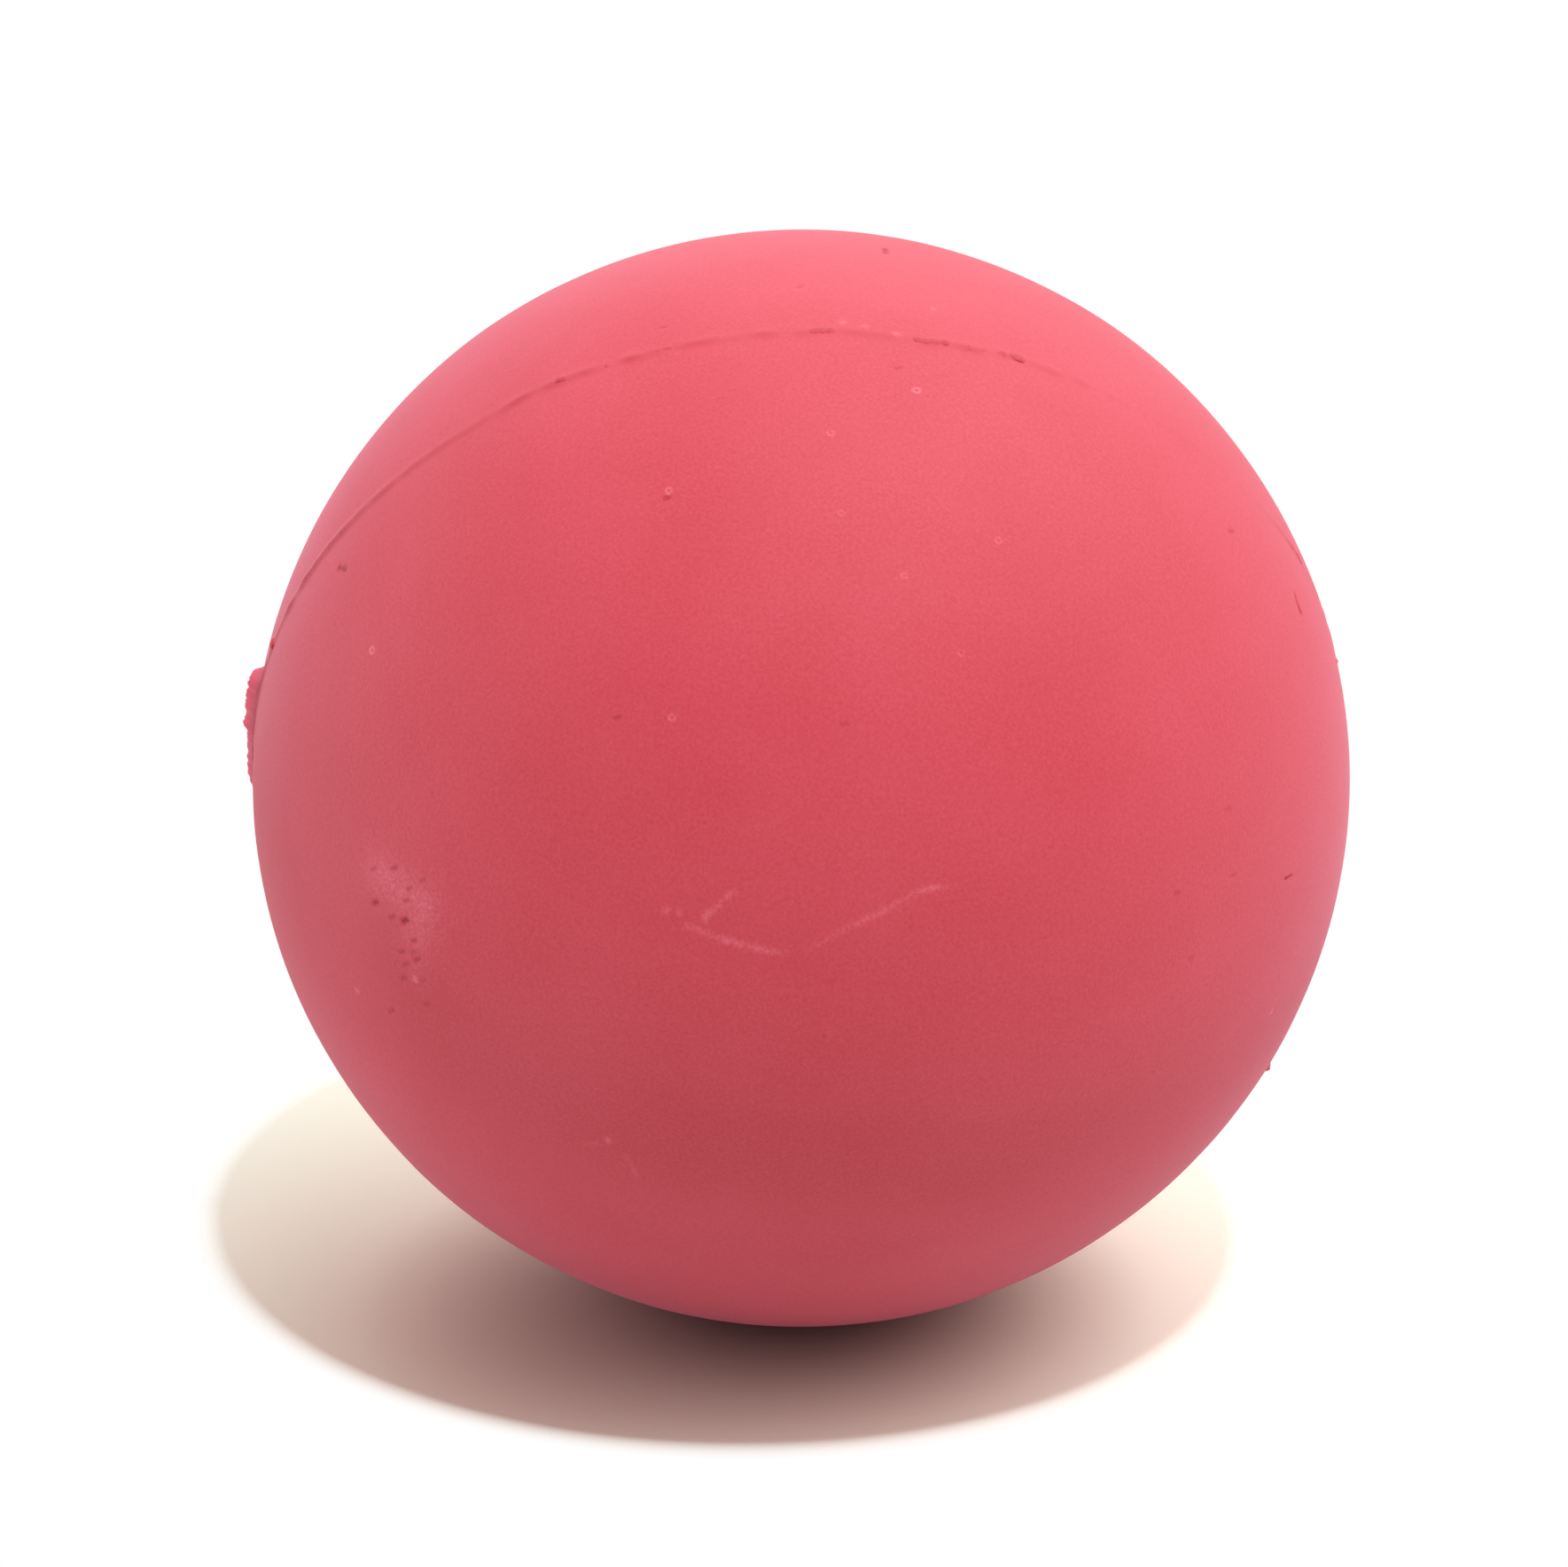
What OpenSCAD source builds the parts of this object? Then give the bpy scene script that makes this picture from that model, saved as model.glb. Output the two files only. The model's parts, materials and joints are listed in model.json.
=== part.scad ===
// Dog ball: a hollow ball of two moulded rubber half-shells, cemented rim to rim.
// The origin is the centre of the ball. It lies as photographed: +Z is up, the viewer stands at -Y,
// and the seam is tipped so that the front half looks at the viewer and a little down.
// All pieces are drawn about the seam's own axis: the seam lies in z = 0, and the front half in z > 0.

/* [Ball] */
// Outside diameter of the ball
ball_d = 65; // [40:0.5:90]
// Wall of each half-shell
wall = 7; // [3:0.5:14]

/* [Seam] */
// Thickness of the cement film between the two rims
cement_t = 0.15; // [0.1:0.05:0.6]
// Width and depth of the bevel on the outer edge of each rim
rim_bevel = 0.1; // [0.05:0.05:0.5]
// How far the bead of squeezed-out cement stands into the hollow
bead_h = 0.8; // [0.3:0.1:2]
// Width of that bead, across the seam
bead_w = 2.4; // [1:0.1:4]

/* [Flash] */
// How far the trimmed strips of flash stand out of the ball
strip_h = 0.2; // [0.1:0.05:0.6]
// Length of a usual strip along the seam
strip_len = 2; // [0.5:0.1:4]
// How far the untrimmed tab of flash stands out of the ball
tab_h = 0.7; // [0.3:0.05:2]
// Length of the tab along the seam
tab_len = 4.4; // [2:0.2:12]
// Thickness of the tab outside the groove of the seam
tab_t = 0.4; // [0.2:0.05:1]
// Place of the tab's middle along the seam, from the right over the top
tab_at = 167; // [0:1:359]

/* [Lie] */
// How far the front half's pole points below level
lie_tip = 28.5; // [-90:0.5:90]
// How far the front half's pole is turned to the right
lie_turn = 3.9; // [-180:0.1:180]

/* [Hidden] */
$fn = 360;
ball_r = ball_d / 2;
hollow_r = ball_r - wall;
groove_r = ball_r - rim_bevel;

// The bead's cross-section is a circle that crosses the inside wall at bead_w
bead_r = (bead_w * bead_w / 4 + bead_h * bead_h) / (2 * bead_h);
bead_ring_r = hollow_r - bead_h + bead_r;

// Strips of flash that trimming left: place along the seam in degrees, length in usual strips
strips = [
    [23, 4], [33, 1.2], [72, 0.7], [80, 0.9], [90, 0.6], [105, 0.4], [115, 0.3], [160, 1.2],
    [176, 2.3], [204, 1.5], [227, 0.6], [246, 2.5], [271, 1], [289, 0.5], [312, 3], [338, 1.1],
];

// The tab's torn edge is drawn with this many steps
tab_steps = 40;
// Share of the tab's length over which each end rises to full height
tab_end = 0.1;
// How far the tab's root reaches up into its blade
tab_root_h = tab_h / 4;
// Shares of the tab's height that the tear takes away, in long waves and in short ones
tear_long = 0.3;
tear_short = 0.18;
// Waves of each kind along the tab
long_waves = 1.6;
short_waves = 5;

rubber_pink = "#CF4E59";
cement_rose = "#A83A48";
flash_pink = "#E2446C";

// Angle in degrees that a length takes up along the outside of the seam
function seam_angle(length) = length / ball_r * 180 / PI;

// Radius of the tab's torn edge at a share s of its length
function wave(s, count) = (1 + sin(360 * count * s)) / 2;
function tab_tear(s) = 1 - tear_long * wave(s, long_waves) - tear_short * wave(s, short_waves);
function tab_rise(s) = min(1, s / tab_end, (1 - s) / tab_end);
function tab_edge_r(s) = ball_r + tab_h * tab_rise(s) * tab_tear(s);

// Turns the seam's axis from +Z to where the front half's pole looks
module as_it_lies() {
    rotate([90 + lie_tip, 0, lie_turn])
        children();
}

// A 45 degree cut round the outer edge of the rim
module rim_edge_cut() {
    rim_z = cement_t / 2;
    rotate_extrude()
        polygon([
            [groove_r - rim_bevel, rim_z - rim_bevel],
            [ball_r + rim_bevel, rim_z - rim_bevel],
            [ball_r + rim_bevel, rim_z + 2 * rim_bevel],
        ]);
}

module half_shell() {
    difference() {
        intersection() {
            sphere(r = ball_r);
            translate([0, 0, cement_t / 2])
                cylinder(r = ball_d, h = ball_d);
        }
        sphere(r = hollow_r);
        rim_edge_cut();
    }
}

module front_half_shell() {
    color(rubber_pink)
        as_it_lies()
            half_shell();
}

module rear_half_shell() {
    color(rubber_pink)
        as_it_lies()
            rotate([180, 0, 0])
                half_shell();
}

// Film between the rims, out to the bottom of the groove, and the bead on the inside wall
module seam_cement() {
    film_inner_r = hollow_r - bead_h / 2;
    color(cement_rose)
        as_it_lies()
            union() {
                difference() {
                    cylinder(r = groove_r, h = cement_t, center = true);
                    cylinder(r = film_inner_r, h = 2 * cement_t, center = true);
                }
                intersection() {
                    sphere(r = hollow_r);
                    rotate_extrude()
                        translate([bead_ring_r, 0])
                            circle(r = bead_r);
                }
            }
}

// A strip of flash in the groove, from the cement's outer edge to a height above the ball
module groove_strip(at, length, height) {
    span = seam_angle(length);
    rotate([0, 0, at - span / 2])
        rotate_extrude(angle = span)
            translate([groove_r, -cement_t / 2])
                square([rim_bevel + height, cement_t]);
}

module flash_strips() {
    color(flash_pink)
        as_it_lies()
            for (strip = strips)
                groove_strip(strip[0], strip[1] * strip_len, strip_h);
}

// The tab's root fills the groove, and its torn blade stands on the ball
module flash_tab() {
    span = seam_angle(tab_len);
    torn_edge = [
        for (i = [0 : tab_steps])
            let (s = i / tab_steps, a = tab_at + span * (s - 0.5))
                tab_edge_r(s) * [cos(a), sin(a)]
    ];
    color(flash_pink)
        as_it_lies()
            union() {
                difference() {
                    linear_extrude(height = tab_t, center = true)
                        polygon(concat(torn_edge, [hollow_r * [cos(tab_at), sin(tab_at)]]));
                    cylinder(r = ball_r, h = 2 * tab_t, center = true);
                }
                groove_strip(tab_at, tab_len * (1 - tab_end), tab_root_h);
            }
}

front_half_shell();
rear_half_shell();
seam_cement();
flash_strips();
flash_tab();
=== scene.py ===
import json
import math
import random
from collections import namedtuple

import bmesh
import bpy
import numpy as np
from mathutils import Matrix, Vector, noise


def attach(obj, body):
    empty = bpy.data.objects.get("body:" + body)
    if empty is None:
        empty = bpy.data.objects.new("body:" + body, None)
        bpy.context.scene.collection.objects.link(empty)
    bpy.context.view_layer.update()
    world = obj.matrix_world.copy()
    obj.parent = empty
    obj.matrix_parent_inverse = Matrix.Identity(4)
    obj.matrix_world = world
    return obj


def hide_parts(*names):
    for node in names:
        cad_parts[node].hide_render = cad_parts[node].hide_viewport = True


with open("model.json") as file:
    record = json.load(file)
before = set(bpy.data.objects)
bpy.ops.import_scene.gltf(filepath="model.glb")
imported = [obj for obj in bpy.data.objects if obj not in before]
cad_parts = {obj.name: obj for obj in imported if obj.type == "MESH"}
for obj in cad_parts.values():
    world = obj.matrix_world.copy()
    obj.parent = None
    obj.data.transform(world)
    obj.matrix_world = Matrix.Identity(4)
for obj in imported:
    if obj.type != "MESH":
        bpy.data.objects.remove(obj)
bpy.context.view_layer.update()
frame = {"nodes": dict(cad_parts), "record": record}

# A dog ball of pink rubber: two moulded half-shells, the cement between them, and what is left of the flash
# along their seam

# Sizes of the ball, in metres
MM = 0.001
MOUNTS = {mount["name"]: mount for mount in frame["record"]["mounts"]}
FLOOR_Z = MOUNTS["floor_contact"]["pos_m"][2]
BALL_R = -FLOOR_Z
WALL = 7 * MM
# The cement between the two rims, and the rounding of a rim's outer edge
FILM = 0.15 * MM
RIM_EDGE = 0.1 * MM
HOLLOW_R = BALL_R - WALL
GROOVE_R = BALL_R - RIM_EDGE

# How the ball lies: the seam's axis is +Z before these turns, with the front half on its + side
LIE_TIP = math.radians(28.5)
LIE_TURN = math.radians(3.9)
FRONT_LIE = Matrix.Rotation(LIE_TURN, 4, "Z") @ Matrix.Rotation(math.pi / 2 + LIE_TIP, 4, "X")
REAR_LIE = FRONT_LIE @ Matrix.Rotation(math.pi, 4, "X")
# Points times this are back in the frame where the seam's axis is +Z
BACK_FROM_LIE = np.array(FRONT_LIE.to_3x3())

# The photograph's frame, and the ball's outline in its pixels
PHOTO_W, PHOTO_H = 1769, 1768
BALL_PX = (903.1, 878.2)
BALL_R_PX = 618.9
# Distance of the camera from the ball's centre, in ball radii, and its height above level
CAMERA_RADII = 5.5
CAMERA_RISE = math.radians(15)
SENSOR_MM = 36
FOCAL_PX = BALL_R_PX * math.sqrt(CAMERA_RADII ** 2 - 1)
# The camera sees nothing that is nearer than this
CAMERA_NEAREST = 0.01

# Marks on the ball: a pixel of the photograph, and how strong the mark is there for its kind
RINGS_PX = [
    (754, 554, 0.58), (758, 810, 0.55), (420, 734, 1.0), (937, 489, 0.45), (1034, 441, 0.88),
    (949, 579, 0.25), (1126, 610, 0.36), (1084, 737, 0.27), (1020, 650, 0.36),
]
PITS_PX = [
    (751, 563, 0.6), (696, 810, 0.4), (1385, 913, 0.34), (1390, 988, 0.3), (1327, 1008, 0.4),
    (1343, 1081, 0.26), (1013, 416, 0.36), (952, 818, 0.28), (903, 324, 0.24), (1388, 600, 0.4),
    (932, 1169, 0.3), (749, 370, 0.26), (424, 1019, 0.85), (457, 1039, 1.0), (462, 1003, 0.5),
    (445, 980, 0.5), (422, 981, 0.36), (477, 994, 0.36), (459, 1016, 0.5), (443, 1035, 0.46),
    (467, 1062, 0.5), (454, 1074, 0.46), (467, 1075, 0.36), (471, 1083, 0.6), (459, 1088, 0.5),
    (456, 1104, 0.46), (478, 1106, 0.32), (442, 1140, 0.5), (482, 1133, 0.4),
]
SPECKS_PX = [
    (1053, 349, 0.65), (403, 1117, 0.83), (1434, 1142, 0.6), (485, 1024, 0.78), (469, 1105, 1.0),
    (752, 1027, 0.6), (766, 1031, 0.45), (1011, 378, 0.8), (950, 364, 0.7), (976, 369, 0.65),
    (686, 1286, 0.8), (935, 1168, 0.5),
]
NUBS_PX = [(1430, 1205, 1.0), (1508, 746, 0.5)]
BLOOM_PX = [(430, 986, 0.85), (455, 1006, 1.0), (476, 1022, 0.95), (468, 1060, 0.6), (466, 1085, 0.3)]
CUT_PX = [(1450, 992, 1.0), (1454, 990, 1.0), (1457, 988, 0.6)]
GOUGES_PX = [
    [(383, 641, 1.0), (390, 643, 0.9)],
    [(999, 281, 0.85), (999, 286, 0.85)],
    [(1460, 670, 0.45), (1463, 680, 0.7), (1467, 691, 0.9)],
]
SCUFFS_PX = [
    [(776, 1044, 0.6), (790, 1050, 0.65), (806, 1056, 0.4), (821, 1061, 0.95), (832, 1064, 0.75),
     (847, 1068, 0.55), (861, 1072, 0.8), (874, 1074, 0.5), (888, 1074, 0.25)],
    [(910, 1073, 0.2), (924, 1065, 0.3), (942, 1055, 0.35), (960, 1045, 0.4), (974, 1038, 0.6),
     (989, 1032, 0.6), (1002, 1025, 0.5), (1016, 1016, 0.35), (1029, 1009, 0.4), (1040, 1004, 0.6),
     (1052, 1002, 0.7), (1062, 1001, 0.4), (1078, 999, 0.15)],
    [(796, 1035, 1.0), (799, 1031, 0.85), (806, 1025, 0.55), (814, 1018, 0.5), (822, 1011, 0.7),
     (829, 1004, 0.3)],
    [(660, 1291, 0.3), (672, 1290, 0.3)],
    [(705, 1303, 0.25), (714, 1318, 0.4), (719, 1330, 0.3)],
]

# The seam: degrees from the right over the top, how much its worn ridge shows there, and by how many
# millimetres it wanders to the front
SEAM = [
    (0, 0.5, 0), (20, 0.6, 0), (26, 0.8, 0.1), (34, 0.9, 0.1), (38, 0.3, 0.2), (42, 0.1, 0.3),
    (60, 0.15, 0.3), (67, 0.7, 0.2), (72, 0.8, 0.1), (80, 0.8, 0.3), (88, 0.7, 0), (98, 0.7, 0),
    (110, 0.9, 0.1), (118, 1.1, 0), (122, 0.8, 0.3), (128, 0.9, 0.3), (136, 1.6, 0.25), (142, 2.0, 0.15),
    (150, 2.4, 0.1), (163, 2.4, 0), (180, 1.0, 0), (205, 0.6, -0.1), (240, 0.2, 0.1), (285, 0.6, 0),
    (330, 0.3, -0.1), (360, 0.5, 0),
]
SEAM_ANGLES, SEAM_SHOWS, SEAM_ASIDE_MM = zip(*SEAM)
# What trimming left of the flash: degrees, length in mm, height in mm
STRIPS = [
    (26.0, 2.0, 0.1), (31.3, 1.3, 0.16), (33.0, 0.8, 0.16), (35.0, 0.7, 0.12), (71.1, 1.3, 0.2),
    (72.6, 0.9, 0.17), (74.5, 0.7, 0.14), (76.0, 0.7, 0.16), (78.4, 0.8, 0.19), (79.7, 2.1, 0.18),
    (80.9, 0.7, 0.19), (82.9, 0.5, 0.12), (85.1, 0.5, 0.12), (89.2, 1.0, 0.17), (89.9, 0.9, 0.17),
    (90.6, 0.9, 0.17), (93.3, 1.2, 0.08), (95.9, 1.6, 0.1), (98.7, 1.4, 0.1), (104.8, 1.8, 0.13),
    (110.4, 0.5, 0.16), (115.0, 0.8, 0.3), (142.0, 0.8, 0.18), (157.0, 0.5, 0.14), (159.7, 0.6, 0.34),
    (176.0, 4.6, 0.2), (204, 3.0, 0.3), (227, 1.2, 0.4), (246, 5.0, 0.3), (271, 2.0, 0.4),
    (289, 1.0, 0.3), (312, 6.0, 0.3), (338, 2.2, 0.4),
]
# Between the strips, the stub of the flash ends this far under the skin
STUB_BELOW = 0.04 * MM
# A trimmed strip is widest at this height, where the blade smeared it, and darkened by grime and painted
# shade
TRIMMED_H = 0.18 * MM
TRIMMED_T = 0.65 * MM
STRIP_GRIME_AND_PAINTED_SHADE = 0.4
# A strip that is taller than this was torn, not trimmed, and is thinner and shows paler rubber
TORN_FROM = 0.3 * MM
TORN_FULL = 0.4 * MM
TORN_T = 0.5 * MM
# The torn tab: degrees along it and its height in mm. From 173 degrees on it is the lower rest of the tear
TAB = [
    (163.5, -0.05), (164.3, 0.25), (164.8, 0.6), (165.3, 0.85), (165.9, 0.95), (166.5, 0.97), (168.0, 1.0),
    (170.1, 0.88), (171.4, 0.92), (172.1, 0.88), (172.8, 0.62), (173.9, 0.62), (176.5, 0.65), (179.0, 0.64),
    (180.3, 0.55), (181.5, 0.3), (182.2, -0.05),
]
TAB_ANGLES, TAB_HEIGHTS_MM = zip(*TAB)
# The tab is this thick, from this height on, and at its low ends it has this share of it
TAB_T = 0.45 * MM
TAB_FULL_MM = 0.6
TAB_THINNEST = 0.3
# How a blade of flash is torn: the share of its height that a tear takes, how long a tear is, how far the
# edge sways to both sides and leans to the rear, and where the pattern of tears starts
STRIPS_TEAR = {"Tear": 0.6, "Tear Size": 0.3 * MM, "Sway": 0.3 * MM, "Lean": 0.0, "Seed": 3.0}
TAB_TEAR = {"Tear": 0.5, "Tear Size": 0.35 * MM, "Sway": 0.5 * MM, "Lean": 0.7 * MM, "Seed": 11.0}


def linear(code):
    """A colour written as sRGB hex, as the linear values that Blender's sockets take."""
    parts = [int(code[i:i + 2], 16) / 255 for i in (1, 3, 5)]
    return [c / 12.92 if c <= 0.04045 else ((c + 0.055) / 1.055) ** 2.4 for c in parts] + [1.0]


def add(tree, kind, inputs=None, **settings):
    """Adds a node with its settings and inputs; as an input, a node stands for its first output in use."""
    node = tree.nodes.new(kind)
    for name, value in settings.items():
        setattr(node, name, value)
    for key, value in (inputs or {}).items():
        if isinstance(value, bpy.types.Node):
            value = next(output for output in value.outputs if output.enabled)
        if isinstance(value, bpy.types.NodeSocket):
            tree.links.new(value, node.inputs[key])
        else:
            node.inputs[key].default_value = value
    return node


# Camera
def make_camera():
    """A camera that sees the ball where the photograph has it, turned a little and not shifted."""
    away = Vector((0, -math.cos(CAMERA_RISE), math.sin(CAMERA_RISE)))
    up = Vector((0, math.sin(CAMERA_RISE), math.cos(CAMERA_RISE)))
    distance = CAMERA_RADII * BALL_R
    right_of_middle = (BALL_PX[0] - PHOTO_W / 2) / FOCAL_PX * distance
    below_middle = (BALL_PX[1] - PHOTO_H / 2) / FOCAL_PX * distance
    aim = Vector((-right_of_middle, 0, 0)) + up * below_middle
    data = bpy.data.cameras.new("photo_camera")
    data.sensor_width = SENSOR_MM
    data.lens = FOCAL_PX / PHOTO_W * SENSOR_MM
    data.clip_start = CAMERA_NEAREST
    camera = bpy.data.objects.new("photo_camera", data)
    camera.location = away * distance
    camera.rotation_euler = (aim - camera.location).to_track_quat("-Z", "Y").to_euler()
    bpy.context.scene.collection.objects.link(camera)
    bpy.context.scene.camera = camera
    return camera


def on_ball(camera, pixel):
    """The point of the ball that a pixel of the photograph shows."""
    across = (pixel[0] - PHOTO_W / 2) / FOCAL_PX
    down = (pixel[1] - PHOTO_H / 2) / FOCAL_PX
    ray = camera.rotation_euler.to_matrix() @ Vector((across, -down, -1)).normalized()
    along = -camera.location.dot(ray)
    miss = camera.location.length_squared - along ** 2
    inside = max(BALL_R ** 2 - miss, 0)
    return (camera.location + ray * (along - math.sqrt(inside))).normalized() * BALL_R


# Marks that use and moulding leave on the rubber, at full strength
Mark = namedtuple("Mark", "path strengths width press lip dust grime ragged")
RING = dict(width=0.17 * MM, press=-0.03 * MM, lip=0.03 * MM, dust=1.0, grime=0.0, ragged=0.15)
# A pit's and a cut's grime is dirt and painted shade, darkening the hollow as its shade would
PIT = dict(width=0.23 * MM, press=-0.08 * MM, lip=0.0, dust=0.0, grime=1.0, ragged=0.5)
SPECK = dict(width=0.28 * MM, press=0.03 * MM, lip=0.0, dust=0.9, grime=0.0, ragged=0.3)
SCUFF = dict(width=0.28 * MM, press=-0.01 * MM, lip=0.0, dust=0.62, grime=0.0, ragged=0.6)
CUT = dict(width=0.12 * MM, press=-0.12 * MM, lip=0.0, dust=0.0, grime=0.8, ragged=0.5)
NUB = dict(width=0.24 * MM, press=0.2 * MM, lip=0.0, dust=0.1, grime=0.0, ragged=0.5)
BLOOM = dict(width=1.8 * MM, press=0.0, lip=0.0, dust=0.5, grime=0.0, ragged=0.5)
# Size of the teeth in a mark's ragged edge
MARK_TEETH = 0.2 * MM
# The share of its width that the weakest mark has
WEAK_WIDTH = 0.6
# How far a mark's core and its lip fade out, in widths of the mark
CORE_FADE = 0.7
LIP_FADE = 0.5
# A tooth drags a pit out to the side by this much, in pixels of the photograph
PIT_DRAG_PX = (2.0, -0.7)
# The side that the photograph doesn't show: how many marks of each kind, and how strong
HIDDEN_SIDE_SEED = 7
HIDDEN_MARKS = [(RING, 12), (PIT, 14), (SPECK, 8), (SCUFF, 7)]
HIDDEN_STRENGTHS = (0.25, 0.8)
# They lie where the skin faces the camera by less than this cosine
HIDDEN_FROM = 0.1
# A scuff there has this many points, this far apart, and bends by up to this much at each
SCUFF_POINTS = (3, 8)
SCUFF_STEP = 1 * MM
SCUFF_BEND = 0.3


def seen_marks(camera):
    """The marks that the photograph shows."""
    spots = [(RINGS_PX, RING), (SPECKS_PX, SPECK), (NUBS_PX, NUB)]
    across, down = PIT_DRAG_PX
    pits = [[(x - across, y - down, size), (x + across, y + down, size)] for x, y, size in PITS_PX]
    lines = [(pits + GOUGES_PX, PIT), (SCUFFS_PX, SCUFF), ([CUT_PX], CUT), ([BLOOM_PX], BLOOM)]
    paths = [([spot], kind) for group, kind in spots for spot in group]
    paths += [(line, kind) for group, kind in lines for line in group]
    return [
        Mark([on_ball(camera, point[:2]) for point in path], [point[2] for point in path], **kind)
        for path, kind in paths
    ]


def hidden_marks(camera):
    """Like marks, about as many to the area, on the side that the photograph doesn't show."""
    draw = random.Random(HIDDEN_SIDE_SEED)
    away = camera.location.normalized()
    marks = []
    for kind, count in HIDDEN_MARKS:
        while count:
            spot = Vector([draw.gauss(0, 1) for _ in range(3)]).normalized()
            heading = Vector([draw.gauss(0, 1) for _ in range(3)]).cross(spot).normalized()
            steps = draw.randint(*SCUFF_POINTS) if kind is SCUFF else 1
            bend = draw.uniform(-SCUFF_BEND, SCUFF_BEND)
            strengths = [draw.uniform(*HIDDEN_STRENGTHS) for _ in range(steps)]
            if spot.dot(away) > HIDDEN_FROM:
                continue
            path = []
            for _ in range(steps):
                path.append(spot * BALL_R)
                spot = (spot + heading * (SCUFF_STEP / BALL_R)).normalized()
                heading = (heading + heading.cross(spot) * bend).normalized()
            marks.append(Mark(path, strengths, **kind))
            count -= 1
    return marks


def near_mark(mark, points):
    """How far each point lies from a mark's path, and how strong the mark is at the nearest place of it."""
    path = np.array(mark.path)
    nearest = np.linalg.norm(points - path[0], axis=1)
    strength = np.full(len(points), mark.strengths[0])
    for i, run in enumerate(path[1:] - path[:-1]):
        share = np.clip((points - path[i]) @ run / (run @ run), 0, 1)
        away = np.linalg.norm(points - path[i] - share[:, None] * run, axis=1)
        nearer = away < nearest
        nearest[nearer] = away[nearer]
        strength[nearer] = np.interp(share[nearer], [0, 1], mark.strengths[i:i + 2])
    return nearest, strength


# Half-shells

# Points along each side of the cube that is blown up to a ball, and how long a face's edge then is
SHELL_SIDE_VERTICES = 69
SHELL_EDGE = BALL_R * math.pi / 2 / (SHELL_SIDE_VERTICES - 1)
# Faces round a rim's rounded edge, and the band of skin above it
EDGE_STEPS = 4
RIM_LAND = 0.12 * MM
# A rounded edge lies below this height and outside this radius; grinding left this share of its groove
EDGE_BELOW = FILM / 2 + 1.05 * RIM_EDGE
EDGE_OUTSIDE = BALL_R - 1.2 * RIM_EDGE
SEAM_CLOSED = 0.02
# A point outside the first radius is on the skin, and one outside the second moves with the skin's waves
SKIN_FROM = BALL_R - RIM_EDGE / 20
WAVES_FROM = BALL_R - 2 * RIM_EDGE
# The worn ridge along the seam: its height and width, how far from the seam it counts, its faces' size
SEAM_RIDGE = 0.042 * MM
SEAM_WIDTH = 0.36 * MM
SEAM_REACH = 1.2 * MM
SEAM_FACE = 0.2 * MM
# Length of the ridge's uneven bits, and how broken it is, by degrees: at the top and down the left side
SEAM_UNEVEN = 1.2 * MM
SEAM_UNEVEN_SEED = 0
SEAM_BREAKS = ([110, 130], [1.7, 0.8])
# The ridge also wanders at random, in bends of this length and by this much
SEAM_BENDS = 1.6 * MM
SEAM_BENDS_SEED = 1
SEAM_WANDER = 0.12 * MM
# How much dirt and painted shade lie along the ridge, and how far to its front
SEAM_GRIME_AND_PAINTED_SHADE = 0.22
SEAM_GRIME_AND_SHADE_AT = 0.15 * MM
# Points nearer to each other than this are one, in a half-shell and in a blade of flash
MERGE = 0.002 * MM
BLADE_MERGE = MERGE / 10
# Faces are split in this many passes at most, until so many cross a mark's width, out to so many widths
# from its path
REFINE_PASSES = 4
FACES_ACROSS_MARK = 2.5
MARK_REACH = 1.8
# Unevenness of the moulded skin: wave length and height in metres
SKIN_WAVES = [(11 * MM, 0.04 * MM), (3.2 * MM, 0.012 * MM)]


def new_tree(name, inputs):
    """An empty geometry tree with named inputs, and the sockets of these inputs."""
    tree = bpy.data.node_groups.new(name, "GeometryNodeTree")
    tree.interface.new_socket("Geometry", in_out="OUTPUT", socket_type="NodeSocketGeometry")
    for label, kind in inputs:
        tree.interface.new_socket(label, in_out="INPUT", socket_type="NodeSocket" + kind)
    return tree, add(tree, "NodeGroupInput").outputs


def finish_tree(tree, geometry, material):
    """Smooth faces, real geometry and the material at the end of a tree."""
    smooth = add(tree, "GeometryNodeSetShadeSmooth", {"Geometry": geometry})
    real = add(tree, "GeometryNodeRealizeInstances", {"Geometry": smooth})
    made = add(tree, "GeometryNodeSetMaterial", {"Geometry": real, "Material": material})
    add(tree, "NodeGroupOutput", {"Geometry": made})


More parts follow.
